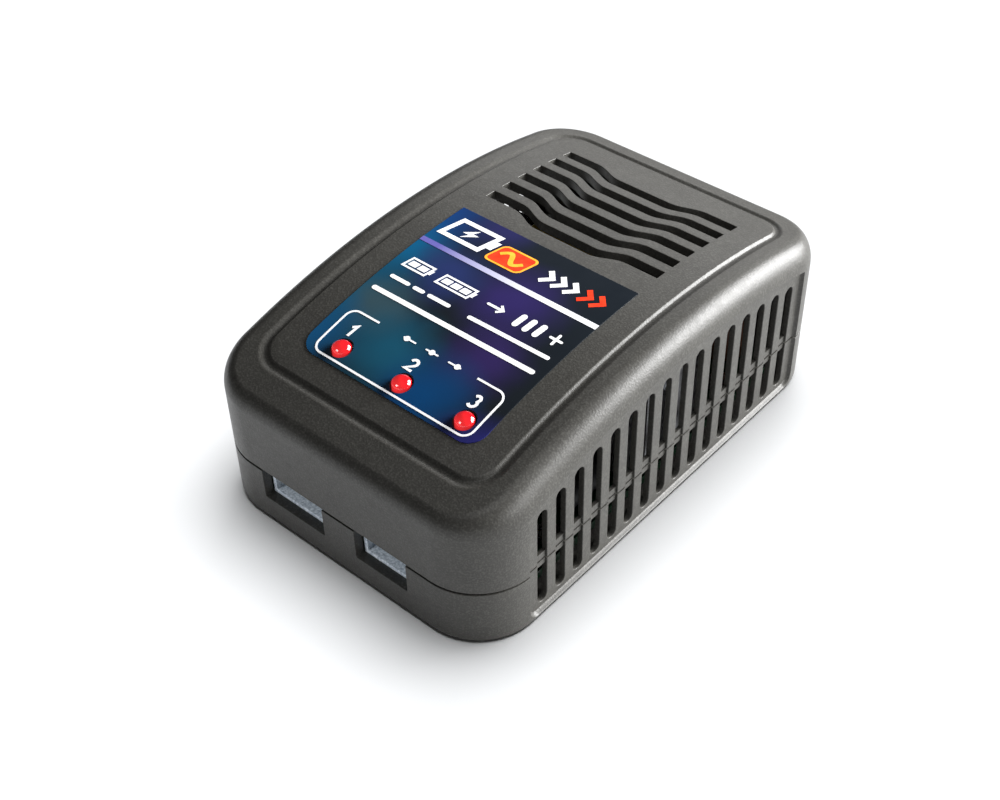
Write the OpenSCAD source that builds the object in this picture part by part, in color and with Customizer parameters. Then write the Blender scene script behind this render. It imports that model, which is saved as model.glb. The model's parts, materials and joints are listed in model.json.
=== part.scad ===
// Balance battery charger: two moulded shells, an arched vented top with a printed label and three lights,
// two balance sockets in front, a figure-8 mains inlet behind, and the power board inside.
// Millimetres. Origin: middle of the underside. +X right, +Y to the back, +Z up.

/* [Housing] */
// Overall width of the housing
body_w = 57.4; // [56.5:0.1:59]
// Overall length of the housing, front to back
body_l = 86.3; // [85.5:0.1:89]
// Radius of the four upright corners
corner_r = 10.2; // [9.8:0.1:10.8]
// Thickness of the moulded walls
wall = 1.6; // [1.5:0.1:1.8]
// Height of the parting line between the two shells
seam_z = 10.6; // [10.5:0.1:10.9]
// Width of the shadow gap at the parting line
seam_gap = 0.25; // [0.15:0.05:0.4]
// Radius of the bottom edge
base_r = 1; // [0.6:0.1:1.2]

/* [Arched top] */
// Height of the highest point of the top
top_z = 31.7; // [31.2:0.1:33]
// Radius of the arch, front to back
arch_r = 141; // [125:1:160]
// Distance of the highest point behind the middle
arch_y = 3.8; // [2:0.1:5]
// Reach of the rolled edge on the two long sides
roll_side = 3.8; // [3:0.1:4]
// Reach of the rolled edge at the front and back
roll_end = 2.4; // [2:0.1:3]
// Height of the rolled edge as a multiple of its reach
roll_tall = 1.35; // [1:0.05:1.5]
// Middle of the panel groove, in from the long sides
groove_side = 6.6; // [6.2:0.1:7]
// Middle of the panel groove, in from the front
groove_front = 6.9; // [6.5:0.1:7.2]
// Middle of the panel groove, in from the back
groove_back = 5.3; // [5:0.1:6]
// Width of the panel groove
groove_w = 3; // [2:0.1:3.4]
// Depth of the panel groove
groove_depth = 0.5; // [0.2:0.05:0.6]

/* [Top vents] */
// Number of wavy slots in the top
wave_count = 6; // [3:1:6]
// Distance from one wavy slot to the next
wave_pitch = 3.92; // [3.6:0.01:4]
// Middle of the front slot's ends, behind the middle of the housing
wave_y = 11.03; // [10.8:0.01:11.5]
// Width of a wavy slot
wave_w = 1.95; // [1.4:0.05:2.1]
// Half of a wavy slot's length
wave_half = 17; // [15:0.1:17.5]
// How far the slots step forward in the middle
wave_step = 1.98; // [0:0.02:2]

/* [Side vents] */
// Number of upright slots in each side
slot_count = 16; // [10:1:16]
// Distance from one upright slot to the next
slot_pitch = 4.07; // [3.8:0.01:4.1]
// Width of an upright slot
slot_w = 2.1; // [1.6:0.05:2.3]
// Lowest point of the slots
slot_base_z = 2.1; // [2:0.1:3]
// Highest point of the tallest slot
slot_top_z = 25.6; // [24:0.1:25.8]
// Radius of the arc that the slot tops follow
slot_arc_r = 121; // [110:1:141]
// Depth of the sunken panel around the slots
recess = 0.65; // [0.4:0.05:0.8]

/* [Label and lights] */
// Width of the top label
label_w = 34.7; // [33:0.1:35]
// Back edge of the top label
label_back_y = 5; // [3:0.1:6]
// Front edge of the top label
label_front_y = -32; // [-32.5:0.1:-31.8]
// Radius of the label's front corners
label_r = 3; // [1:0.1:4]
// Distance between neighbouring lights
led_pitch = 12.1; // [11.5:0.1:12.3]
// Sideways place of the middle light
led_x = 0.9; // [0:0.1:1]
// Place of the row of lights
led_y = -28.9; // [-29.2:0.1:-28.6]
// Diameter of a light's lens
led_d = 3.2; // [3:0.1:3.4]

/* [Sockets] */
// Middle of the four-pin balance socket
four_x = -9.7; // [-10.2:0.1:-9.2]
// Middle of the three-pin balance socket
three_x = 8.5; // [8:0.1:9]
// Distance between neighbouring pins
pin_pitch = 2.5; // [2.5:0.01:2.54]

/* [Mains inlet] */
// Distance between the inlet's two round pins
inlet_pitch = 8.6; // [8.6:0.1:8.6]
// Diameter of the inlet's pins
inlet_pin_d = 2.4; // [2.4:0.1:2.4]

/* [Hidden] */
$fn = 48;

// The housing's outline
half_w = body_w / 2;
half_l = body_l / 2;
corner_steps = 8;
side_steps = 14;
roll_steps = 6;
groove_steps = 8;
ring_n = 4 * (corner_steps + 1) + 2 * (side_steps - 1);
half_ring = ring_n / 2;

// The joint between the shells: at the ends a tongue on the lower one stands inside the upper one's wall,
// and along the vents each shell ends in a thin bar that crosses its slots.
tongue_t = 0.6;
tongue_base = seam_z - 1.2;
tongue_top = seam_z + 1.3;
tongue_clear = 0.1;
bar_half = slot_pitch * slot_count / 2 - 0.4;
lower_top = seam_z - seam_gap / 2;
upper_base = seam_z + seam_gap / 2;

// Slots and the sunken side panels round them
vent_mid_y = 0.4;
slot_first_y = vent_mid_y - slot_pitch * (slot_count - 1) / 2;
recess_half = slot_pitch * (slot_count - 1) / 2 + 2.9;
recess_r = 1.6;
recess_base_z = 1.25;
recess_above = 1.9;
wave_bend_in = 5.1;
wave_bend_out = 11.2;
wave_cut = 8;
bend_steps = 6;
end_steps = 6;

// Fastenings
boss_x = 23;
boss_y = 37.2;
boss_d = 6.5;
screw_d = 2.5;
screw_head_d = 4.6;
screw_head_z = 2.4;
screw_l = 14;
pilot_d = 2.05;

// The board and what stands on it
board_t = 1.6;
board_top = 4.95;
board_x = 25.6;
board_front_y = -41.2;
board_back_y = 41;
floor_t = 1.6;
post_x = 22.4;
post_y = 22;
board_screw_d = 2;
fuse_at = [17, 30.5];
thermistor_at = [-16, 31.5];
x_capacitor_at = [-14.2, 25.3];
choke_at = [1, 20.4];
bridge_at = [15.4, 18];
bulk_capacitor_at = [-16.6, 11];
transformer_at = [2.8, 1.2];
heatsink_at = [22.2, 3.5];
heatsink_hole_z = 13.6;
y_capacitor_at = [-20, -3.4];
optocoupler_at = [-12.4, -3.2];
diode_at = [20.5, -12.6];
output_capacitors_at = [[-19.4, -12.6], [-8.6, -15.4]];
inductor_at = [3.4, -16];
chip_at = [13.2, -17.6];
resistor_y = -24.2;

// Balance sockets, two sizes of one 2.5 mm pitch header
socket_h = 5.75;
socket_wall = 0.65;
socket_depth = 8.6;
socket_cavity = 7;
socket_front_y = -half_l + wall + 0.05;
socket_end = 2.45;
socket_clear = 0.2;
pin_t = 0.64;
pin_reach = 3.9;

// Figure-8 inlet
inlet_w = 20;
inlet_z = seam_z;
inlet_h = 2 * (inlet_z - board_top);
inlet_depth = 14.2;
inlet_back_y = half_l;
inlet_cavity = 12;
inlet_cavity_d = 8.4;
inlet_waist_h = 7;
inlet_pin_l = 9.5;
inlet_clear = 0.15;

// Plain label on the underside, in a pocket as deep as it is thick
rating_w = 33.4;
rating_l = 45.4;
rating_t = 0.15;

// Thickness of the printed label on the top
film_t = 0.15;

// Colours
case_grey = "#55544f";
metal = "#c9ccd0";
gold = "#c8a24a";
copper = "#b5652b";
black_plastic = "#1c1c1e";
white_plastic = "#eceee9";

// ---- Curves that shape the housing -------------------------------------------------------------------

// Height of the arched top at a place y
function arch_z(y) = top_z - arch_r + sqrt(arch_r * arch_r - (y - arch_y) * (y - arch_y));

// Slope of the arched top at a place y
function arch_slope(y) = -(y - arch_y) / sqrt(arch_r * arch_r - (y - arch_y) * (y - arch_y));

// Height of the tip of a side slot at a place y
function slot_tip_z(y) = slot_top_z - slot_arc_r
    + sqrt(slot_arc_r * slot_arc_r - (y - arch_y) * (y - arch_y));

// Forward step of a wavy slot, a smooth bend on each side of its straight middle
function wave_shift(x) = let(u = (abs(x) - wave_bend_in) / (wave_bend_out - wave_bend_in))
    u <= 0 ? -wave_step : u >= 1 ? 0 : -wave_step * (1 + cos(180 * u)) / 2;

// Points [x, y, normal x, normal y] round a rounded rectangle, anticlockwise from its front right corner
function ring(side_in, front_in, back_in, r) =
    let(x = half_w - side_in, front = front_in - half_l + r, back = half_l - back_in - r)
    concat(
        corner(x - r, front, r, 0), side(x, front, back), corner(x - r, back, r, 1),
        corner(r - x, back, r, 2), side(-x, back, front), corner(r - x, front, r, 3));

// Quarter number q of a circle, where 0 turns from the front to the right
function corner(x, y, r, q) = [for (i = [0:corner_steps]) let(a = 90 * (q - 1 + i / corner_steps))
    [x + r * cos(a), y + r * sin(a), cos(a), sin(a)]];

// Points between the two ends of a long side
function side(x, from, to) = [for (k = [1:side_steps - 1])
    [x, from + (to - from) * k / side_steps, sign(x), 0]];

// One ring of the rolled edge: t is 0 at the upright wall and 1 at the top, and drop lowers the surface
function roll_ring(outline, reach_side, reach_end, t, drop) = [for (p = outline)
    let(reach = reach_side * p[2] * p[2] + reach_end * p[3] * p[3],
        lean = atan(-arch_slope(p[1]) * p[3] / roll_tall),
        a = t * (90 - lean),
        inward = reach * (1 - cos(a)))
    [p[0] - p[2] * inward, p[1] - p[3] * inward,
     arch_z(p[1]) - drop + roll_tall * reach * (sin(a) - tan(45 - lean / 2))]];

// One ring of the panel groove, u = -1 at its outer lip and 1 at its inner lip
function groove_ring(u) = let(share = 1 + u * groove_w / 2 / groove_side, d = share * groove_side)
    [for (p = ring(d, share * groove_front, share * groove_back, corner_r - 0.9 * d))
        [p[0], p[1], arch_z(p[1]) - groove_depth * (1 + cos(180 * u)) / 2]];

function flat_ring(outline, z) = [for (p = outline) [p[0], p[1], z]];

// A closed solid through a stack of rings, with a flat base and an arched top
module loft(rings) {
    last = len(rings) - 1;
    polyhedron(
        points = [for (r = rings) each r],
        faces = concat(
            [[for (j = [0:ring_n - 1]) j]],
            [for (i = [0:last - 1], j = [0:ring_n - 1], half = [0:1])
                let(k = (j + 1) % ring_n, low = i * ring_n, high = low + ring_n)
                half == 0 ? [low + j, high + j, high + k] : [low + j, high + k, low + k]],
            [for (j = [0:half_ring - 2]) let(top = last * ring_n)
                [top + ring_n - 1 - j, top + ring_n - 2 - j, top + j + 1, top + j]]),
        convexity = 6);
}

// A rounded rectangle drawn with true arcs
module rounded_rect(w, l, r) {
    square([w - 2 * r, l], center = true);
    square([w, l - 2 * r], center = true);
    for (x = [-1, 1], y = [-1, 1]) translate([x * (w / 2 - r), y * (l / 2 - r)]) circle(r, $fn = 96);
}

// An upright slot with round ends, drawn in the plane of the side wall
module slot_shape(z_low, z_high) {
    r = slot_w / 2;
    polygon([for (end = [0, 1], i = [0:end_steps]) let(a = 180 * (end - 1) + 180 * i / end_steps)
        [r * cos(a), (end == 0 ? z_low + r : z_high - r) + r * sin(a)]]);
}

// Stands a drawing of [y, z] upright and runs it across the housing from x to x + t
module across(x, t) {
    translate([x, 0, 0]) rotate([90, 0, 90]) linear_extrude(t) children();
}

// The sunken side panel, its top edge parallel to the slot tops
module recess_shape() {
    half = recess_half - recess_r;
    low = recess_base_z;
    intersection() {
        translate([arch_y, slot_top_z + recess_above - slot_arc_r]) circle(slot_arc_r, $fn = 720);
        translate([vent_mid_y, 0]) union() {
            translate([-half, low]) square([2 * half, 40]);
            translate([-recess_half, low + recess_r]) square([2 * recess_half, 40]);
            for (s = [-1, 1]) translate([s * half, low + recess_r]) circle(recess_r);
        }
    }
}

module recess_cuts() {
    across(half_w - recess, 3) recess_shape();
    across(recess - half_w - 3, 3) recess_shape();
}

// The upright slots, each cut through both side walls at once
module side_slot_cuts() {
    for (k = [0:slot_count - 1]) {
        y = slot_first_y + k * slot_pitch;
        across(-half_w - 1, body_w + 2) translate([y, 0]) slot_shape(slot_base_z, slot_tip_z(y));
    }
}

// Places along a wavy slot where its edge bends, from left to right
wave_xs = let(right = [for (i = [0:bend_steps])
    wave_bend_in + (wave_bend_out - wave_bend_in) * i / bend_steps])
    concat([-wave_half], [for (i = [0:bend_steps]) -right[bend_steps - i]], right, [wave_half]);

// The wavy slots seen from above
module wave_cuts() {
    last = len(wave_xs) - 1;
    translate([0, 0, top_z - wave_cut]) linear_extrude(2 * wave_cut)
        for (k = [0:wave_count - 1]) {
            y = wave_y + k * wave_pitch;
            polygon(concat(
                [for (x = wave_xs) [x, y + wave_shift(x) - wave_w / 2]],
                [for (i = [0:last]) let(x = -wave_xs[i]) [x, y + wave_shift(x) + wave_w / 2]]));
        }
}

module at_corners(x, y) {
    for (sx = [-1, 1], sy = [-1, 1]) translate([sx * x, sy * y, 0]) children();
}

// ---- Housing -----------------------------------------------------------------------------------------

module upper_shell() {
    color(case_grey) {
        difference() {
            upper_form();
            upper_hollow();
            at_corners(boss_x, boss_y) translate([0, 0, upper_base - 1]) cylinder(d = pilot_d, h = 8);
            recess_cuts();
            side_slot_cuts();
            wave_cuts();
            for (i = [-1:1]) translate([led_x + i * led_pitch, led_y, top_z - 12])
                cylinder(d = led_d + 0.3, h = 20);
            inlet_cut();
        }
        vent_bars(upper_base, tongue_top);
    }
}

// The upper shell's outside: an upright wall, the rolled edge, then the groove round the raised panel
module upper_form() {
    outline = ring(0, 0, 0, corner_r);
    loft(concat(
        [flat_ring(outline, upper_base)],
        [for (s = [0:roll_steps]) roll_ring(outline, roll_side, roll_end, s / roll_steps, 0)],
        [for (s = [0:groove_steps]) groove_ring(2 * s / groove_steps - 1)]));
}

// The upper shell's inside, with the bosses left standing and the step that takes the lower shell's tongue
module upper_hollow() {
    inner = ring(wall, wall, wall, corner_r - wall);
    steps = 3;
    lip = wall - tongue_t - tongue_clear;
    difference() {
        union() {
            loft(concat(
                [flat_ring(inner, upper_base - 1)],
                [for (s = [0:steps])
                    roll_ring(inner, roll_side - wall, roll_end - wall, s / steps, wall)]));
            translate([0, 0, upper_base - 0.5]) linear_extrude(tongue_top + tongue_clear - upper_base + 0.5)
                difference() {
                    rounded_rect(body_w - 2 * lip, body_l - 2 * lip, corner_r - lip);
                    beside_vents(wall);
                }
        }
        at_corners(boss_x, boss_y) translate([0, 0, upper_base - 2]) cylinder(d = boss_d, h = 40);
    }
}

// Strips of the plan, t wide, along the inner face of the side walls where the vents are
module beside_vents(t) {
    for (s = [-1, 1])
        translate([s * (half_w - wall + t / 2), vent_mid_y]) square([t, 2 * bar_half], center = true);
}

// Bars across the slots of both sides, from z_low to z_high
module vent_bars(z_low, z_high) {
    translate([0, 0, z_low]) linear_extrude(z_high - z_low) beside_vents(tongue_t);
}

module lower_shell() {
    lip = wall - tongue_t;
    color(case_grey) difference() {
        union() {
            difference() {
                lower_form();
                translate([0, 0, floor_t]) linear_extrude(20)
                    rounded_rect(body_w - 2 * wall, body_l - 2 * wall, corner_r - wall);
                recess_cuts();
                side_slot_cuts();
            }
            translate([0, 0, tongue_base]) linear_extrude(tongue_top - tongue_base) difference() {
                rounded_rect(body_w - 2 * lip, body_l - 2 * lip, corner_r - lip);
                rounded_rect(body_w - 2 * wall, body_l - 2 * wall, corner_r - wall);
                at_corners(boss_x, boss_y) circle(d = boss_d + 0.4);
                square([body_w, 2 * (bar_half + 0.3 + vent_mid_y)], center = true);
            }
            vent_bars(tongue_base, lower_top);
            translate([0, 0, floor_t - 0.5]) {
                at_corners(boss_x, boss_y) cylinder(d = boss_d, h = lower_top - floor_t + 0.5);
                at_corners(post_x, post_y) cylinder(d = 5, h = board_top - board_t - floor_t + 0.5);
            }
        }
        at_corners(boss_x, boss_y) {
            translate([0, 0, -1]) cylinder(d = screw_head_d + 0.6, h = screw_head_z + 1);
            translate([0, 0, -1]) cylinder(d = screw_d + 0.3, h = 30);
        }
        at_corners(post_x, post_y) translate([0, 0, 0.9]) cylinder(d = board_screw_d - 0.3, h = 10);
        socket_cut(four_x, 4);
        socket_cut(three_x, 3);
        inlet_cut();
        translate([0, 0, -1]) linear_extrude(1 + rating_t) rounded_rect(rating_w + 0.6, rating_l + 0.6, 2);
    }
}

// The lower shell's outside: a rounded bottom edge and an upright wall
module lower_form() {
    steps = 4;
    translate([0, 0, base_r]) linear_extrude(lower_top - base_r) rounded_rect(body_w, body_l, corner_r);
    loft(concat(
        [for (s = [0:steps]) let(a = 90 * s / steps, d = base_r * (1 - sin(a)))
            flat_ring(ring(d, d, d, corner_r - d), base_r * (1 - cos(a)))],
        [flat_ring(ring(0, 0, 0, corner_r), base_r + 0.5)]));
}

// Notch in the front wall round a balance socket with n pins
module socket_cut(x, n) {
    w = socket_w(n) + 2 * socket_clear;
    translate([x - w / 2, -half_l - 1, board_top]) cube([w, wall + 2, 20]);
}

module inlet_cut() {
    translate([0, half_l + 1, inlet_z]) rotate([90, 0, 0]) linear_extrude(wall + 2)
        rounded_rect(inlet_w + 2 * inlet_clear, inlet_h + 2 * inlet_clear, 3);
}

module top_label() {
    color("#20263a") intersection() {
        difference() {
            arch_drum(arch_r + film_t);
            arch_drum(arch_r);
        }
        translate([0, 0, top_z - 10]) linear_extrude(20) difference() {
            label_shape();
            for (i = [-1:1]) translate([led_x + i * led_pitch, led_y]) circle(d = led_d + 0.4);
        }
    }
}

// A drum whose surface is the arch, its axis across the housing
module arch_drum(r) {
    translate([-label_w, arch_y, top_z - arch_r]) rotate([0, 90, 0])
        cylinder(r = r, h = 2 * label_w, $fn = 720);
}

module label_shape() {
    translate([-label_w / 2, label_front_y + label_r])
        square([label_w, label_back_y - label_front_y - label_r]);
    translate([label_r - label_w / 2, label_front_y]) square([label_w - 2 * label_r, 2 * label_r]);
    for (s = [-1, 1]) translate([s * (label_w / 2 - label_r), label_front_y + label_r]) circle(label_r);
}

module rating_label() {
    color("#d8d9da") linear_extrude(rating_t) rounded_rect(rating_w, rating_l, 1.8);
}

module case_screws() {
    color(metal) at_corners(boss_x, boss_y) {
        difference() {
            translate([0, 0, screw_head_z - 1.7]) cylinder(d = screw_head_d, h = 1.7);
            translate([0, 0, screw_head_z - 1.9]) for (a = [0, 90]) rotate(a)
                translate([-1.3, -0.3, 0]) cube([2.6, 0.6, 1]);
        }
        translate([0, 0, screw_head_z]) cylinder(d = pilot_d, h = screw_l);
    }
}

// ---- Lights ------------------------------------------------------------------------------------------

led_base_z = arch_z(led_y) - 3.6;

// A 3 mm class light: flange, round body and domed end
module led(i) {
    color("#d01820") translate([led_x + i * led_pitch, led_y, led_base_z]) {
        cylinder(d = led_d + 0.8, h = 1);
        cylinder(d = led_d, h = 3.7);
        translate([0, 0, 3.7]) intersection() {
            sphere(d = led_d);
            cylinder(d = led_d + 1, h = led_d);
        }
    }
}

module led_first() { led(-1); }

module led_second() { led(0); }

module led_third() { led(1); }

module led_spacers() {
    color(black_plastic) for (i = [-1:1]) on_board([led_x + i * led_pitch, led_y]) difference() {
        cylinder(d = 4.6, h = led_base_z - board_top);
        translate([0, 0, -1]) cylinder(d = 3.4, h = 40);
    }
}

module led_leads() {
    color(metal) for (i = [-1:1], s = [-1, 1])
        translate([led_x + i * led_pitch + s * 1.27 - 0.25, led_y - 0.25, board_top - board_t - 1])
            cube([0.5, 0.5, led_base_z - board_top + board_t + 1]);
}

// ---- Board -------------------------------------------------------------------------------------------

module main_board() {
    color("#1f6b3a") translate([0, 0, board_top - board_t]) linear_extrude(board_t) difference() {
        translate([-board_x, board_front_y]) square([2 * board_x, board_back_y - board_front_y]);
        at_corners(boss_x, boss_y) circle(r = boss_d / 2 + 0.6);
        at_corners(board_x + 1, half_l) rotate(45) square(13, center = true);
        at_corners(post_x, post_y) circle(d = board_screw_d + 0.4);
        for (i = [-1:1], s = [-1, 1]) translate([led_x + i * led_pitch + s * 1.27, led_y]) circle(d = 0.9);
    }
}

module board_screws() {
    color(metal) at_corners(post_x, post_y) {
        translate([0, 0, 1.1]) cylinder(d = board_screw_d - 0.3, h = board_top - 1.1);
        translate([0, 0, board_top]) difference() {
            cylinder(d = 3.8, h = 1.3);
            translate([0, 0, 0.6]) for (a = [0, 90]) rotate(a) translate([-1, -0.25, 0]) cube([2, 0.5, 1]);
        }
    }
}

// ---- Balance sockets ---------------------------------------------------------------------------------

function socket_w(n) = (n - 1) * pin_pitch + 2 * socket_end;

// Open-fronted housing of a side-entry header, with the two polarising slots in its top
module socket(x, n) {
    w = socket_w(n);
    color(white_plastic) translate([x, socket_front_y, board_top]) difference() {
        translate([-w / 2, 0, 0]) cube([w, socket_depth, socket_h]);
        translate([socket_wall - w / 2, -1, socket_wall])
            cube([w - 2 * socket_wall, socket_cavity + 1, socket_h - 2 * socket_wall]);
        for (s = [-1, 1]) translate([s * (w / 2 - 2.6) - 0.5, -1, socket_h - socket_wall - 0.1])
            cube([1, 5, socket_wall + 1]);
        for (i = [0:n - 1])
            translate([(i - (n - 1) / 2) * pin_pitch - pin_t / 2, 0, socket_h / 2 - pin_t / 2])
                cube([pin_t, socket_depth + 1, pin_t]);
    }
}

// Square pins that run from the cavity out of the back of the header and down to the board
module header_pins(x, n) {
    start = socket_cavity - pin_reach;
    color(gold) for (i = [0:n - 1])
        translate([x + (i - (n - 1) / 2) * pin_pitch - pin_t / 2, socket_front_y, board_top]) {
            translate([0, start, socket_h / 2 - pin_t / 2])
                cube([pin_t, socket_depth - start + pin_t, pin_t]);
            translate([0, socket_depth, 0]) cube([pin_t, pin_t, socket_h / 2]);
        }
}

module socket_four_pin() { socket(four_x, 4); }

module pins_four_pin() { header_pins(four_x, 4); }

module socket_three_pin() { socket(three_x, 3); }

module pins_three_pin() { header_pins(three_x, 3); }

// ---- Mains inlet -------------------------------------------------------------------------------------

// The recess that takes a figure-8 connector
module figure_eight() {
    for (s = [-1, 1]) translate([s * inlet_pitch / 2, 0]) circle(d = inlet_cavity_d);
    square([inlet_pitch, inlet_waist_h], center = true);
}

module inlet_place() {
    translate([0, inlet_back_y, inlet_z]) rotate([90, 0, 0]) children();
}

module mains_inlet() {
    color(black_plastic) inlet_place() difference() {
        linear_extrude(inlet_depth) rounded_rect(inlet_w, inlet_h, 2.8);
        translate([0, 0, -1]) linear_extrude(inlet_cavity + 1) figure_eight();
        for (s = [-1, 1]) translate([s * inlet_pitch / 2, 0, 5]) cylinder(d = inlet_pin_d, h = 20);
    }
}

module inlet_pins() {
    tip = 0.6;
    rear = 0.6;
    color(metal) inlet_place() for (s = [-1, 1])
        translate([s * inlet_pitch / 2, 0, inlet_cavity - inlet_pin_l]) {
            translate([0, 0, tip])
                cylinder(d = inlet_pin_d, h = inlet_pin_l + inlet_depth - inlet_cavity + rear - tip);
            cylinder(d1 = inlet_pin_d - 1, d2 = inlet_pin_d, h = tip);
        }
}

// ---- Mains side of the board -------------------------------------------------------------------------

module on_board(at) { translate([at[0], at[1], board_top]) children(); }

// A round part that lies across the board, its axis front to back
module lying(d, h) { rotate([90, 0, 0]) cylinder(d = d, h = h, center = true); }

module fuse() {
    color("#6b3a22") on_board(fuse_at) cylinder(d = 8.4, h = 8);
}

module surge_thermistor() {
    color("#2b4a34") on_board(thermistor_at) translate([0, 0, 5]) lying(8, 3.6);
}

module x_capacitor() {
    color("#d9b23a") on_board(x_capacitor_at) translate([-6, -2.9, 0]) cube([12, 5.8, 11]);
}

module choke_core() {
    color("#3c3f3c") on_board(choke_at) translate([0, 0, 1.2]) difference() {
        cylinder(d = 14, h = 6.5);
        translate([0, 0, -1]) cylinder(d = 7.4, h = 10);
    }
}

module choke_windings() {
    turns = 7;
    color(copper) on_board(choke_at) for (s = [0, 180], k = [0:turns - 1])
        rotate(s + (k - (turns - 1) / 2) * 17) translate([5.35, 0, 4.45]) rotate([90, 0, 0])
            linear_extrude(0.7, center = true) difference() {
                square([5.1, 8.3], center = true);
                square([3.4, 6.6], center = true);
            }
}

module bridge_rectifier() {
    color(black_plastic) on_board(bridge_at) translate([-4.2, -3.2, 0.4]) cube([8.4, 6.4, 3.2]);
}

module bulk_capacitor() {
    color("#20242c") on_board(bulk_capacitor_at) {
        translate([0, 0, 0.3]) cylinder(d = 12.5, h = 1.2);
        translate([0, 0, 1.5]) cylinder(d = 11.9, h = 0.8);
        translate([0, 0, 2.3]) cylinder(d = 12.5, h = 17.7);
    }
}

// ---- Transformer and power stage ---------------------------------------------------------------------

module transformer_core() {
    color("#38393b") on_board(transformer_at) translate([0, 0, 3]) difference() {
        translate([-10, -3, 0]) cube([20, 6, 16.5]);
        for (s = [-1, 1]) translate([s * 5 - 2.1, -4, 3.2]) cube([4.2, 8, 10.1]);
    }
}

module transformer_bobbin() {
    color(black_plastic) on_board(transformer_at) {
        difference() {
            union() {
                for (z = [6.3, 15.1]) translate([-7, -8, z]) cube([14, 16, 1]);
                translate([-3.4, -3.6, 6.3]) cube([6.8, 7.2, 9.8]);
            }
            translate([-2.9, -3, 0]) cube([5.8, 6, 30]);
        }
        for (s = [-1, 1]) translate([-9, s * 7.1 - 1.4, 0.3]) cube([18, 2.8, 2.6]);
        for (s = [-1, 1]) translate([-1, s * 7 - 0.5, 2.9]) cube([2, 1, 3.4]);
    }
}

module transformer_winding() {
    color("#e0c540") on_board(transformer_at) translate([0, 0, 7.3]) difference() {
        linear_extrude(7.8) rounded_rect(13.4, 14.6, 3);
        translate([-3.4, -3.6, -1]) cube([6.8, 7.2, 10]);
    }
}

module heatsink() {
    color("#aeb3b8") on_board(heatsink_at) difference() {
        union() {
            translate([-1, -9, 0.3]) cube([2, 18, 18]);
            for (k = [-3:3]) translate([0.9, k * 2.6 - 0.5, 0.3]) cube([2.1, 1, 18]);
        }
        translate([-2, 0, heatsink_hole_z]) rotate([0, 90, 0]) cylinder(d = 3, h = 10);
    }
}

module power_transistor() {
    color(black_plastic) on_board(heatsink_at) difference() {
        union() {
            translate([-5.5, -5, 2]) cube([4.5, 10, 9]);
            translate([-2.3, -5, 11]) cube([1.3, 10, 5.6]);
            for (k = [-1:1]) translate([-3.6, k * 2.54 - 0.4, 0]) cube([0.6, 0.8, 2]);
        }
        translate([-9, 0, heatsink_hole_z]) rotate([0, 90, 0]) cylinder(d = 3.4, h = 12);
    }
}

module heatsink_screw() {
    color(metal) on_board(heatsink_at) translate([-4.2, 0, heatsink_hole_z]) rotate([0, 90, 0]) {
        cylinder(d = 5.2, h = 1.9);
        cylinder(d = 2.6, h = 6);
    }
}

module y_capacitor() {
    color("#2f62a8") on_board(y_capacitor_at) translate([0, 0, 4.6]) lying(7, 3.8);
}

module optocoupler() {
    color("#e6e6e0") on_board(optocoupler_at) translate([-2.3, -3.2, 0.5]) cube([4.6, 6.4, 3.4]);
}

module output_diode() {
    color(black_plastic) on_board(diode_at) translate([0, 0, 3.2]) lying(5.2, 9.2);
}

module output_capacitors() {
    color("#233a6b") for (at = output_capacitors_at) on_board(at) {
        translate([0, 0, 0.3]) cylinder(d = 8, h = 1);
        translate([0, 0, 1.3]) cylinder(d = 7.5, h = 0.7);
        translate([0, 0, 2]) cylinder(d = 8, h = 13.5);
    }
}

module output_inductor() {
    color("#4a4d50") on_board(inductor_at) {
        translate([0, 0, 0.3]) cylinder(d = 9, h = 1.4);
        translate([0, 0, 1.7]) cylinder(d = 7.8, h = 5.6);
        translate([0, 0, 7.3]) cylinder(d = 9, h = 1.4);
    }
}

module control_chip() {
    color(black_plastic) on_board(chip_at) {
        translate([-3.5, -3.5, 0.1]) cube([7, 7, 1.2]);
        for (a = [0:90:270], k = [-3:3])
            rotate(a) translate([3.4, k * 0.8 - 0.18, 0.1]) cube([1.1, 0.36, 0.3]);
    }
}

module balance_resistors() {
    color("#2a2b2d") for (k = [-1:1]) on_board([led_x + k * led_pitch, resistor_y])
        translate([-3.2, -1.3, 0]) cube([6.4, 2.6, 0.7]);
}

module balance_transistors() {
    color(black_plastic) for (k = [0:2]) on_board([led_x + (k - 0.5) * led_pitch, led_y])
        translate([-1.45, -0.8, 0]) cube([2.9, 1.6, 1.1]);
}

lower_shell();
upper_shell();
top_label();
rating_label();
led_first();
led_second();
led_third();
led_spacers();
led_leads();
case_screws();
main_board();
board_screws();
socket_four_pin();
pins_four_pin();
socket_three_pin();
pins_three_pin();
mains_inlet();
inlet_pins();
fuse();
surge_thermistor();
x_capacitor();
choke_core();
choke_windings();
bridge_rectifier();
bulk_capacitor();
transformer_core();
transformer_bobbin();
transformer_winding();
power_transistor();
heatsink();
heatsink_screw();
y_capacitor();
optocoupler();
output_diode();
output_capacitors();
output_inductor();
control_chip();
balance_resistors();
balance_transistors();
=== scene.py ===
"""Balance battery charger: its looks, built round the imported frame.

Shapes are worked out in millimetres in the row frame and scaled to metres when a mesh is made.
"""

import json
import math

import bmesh
import bpy
from mathutils import Matrix, Vector


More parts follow.
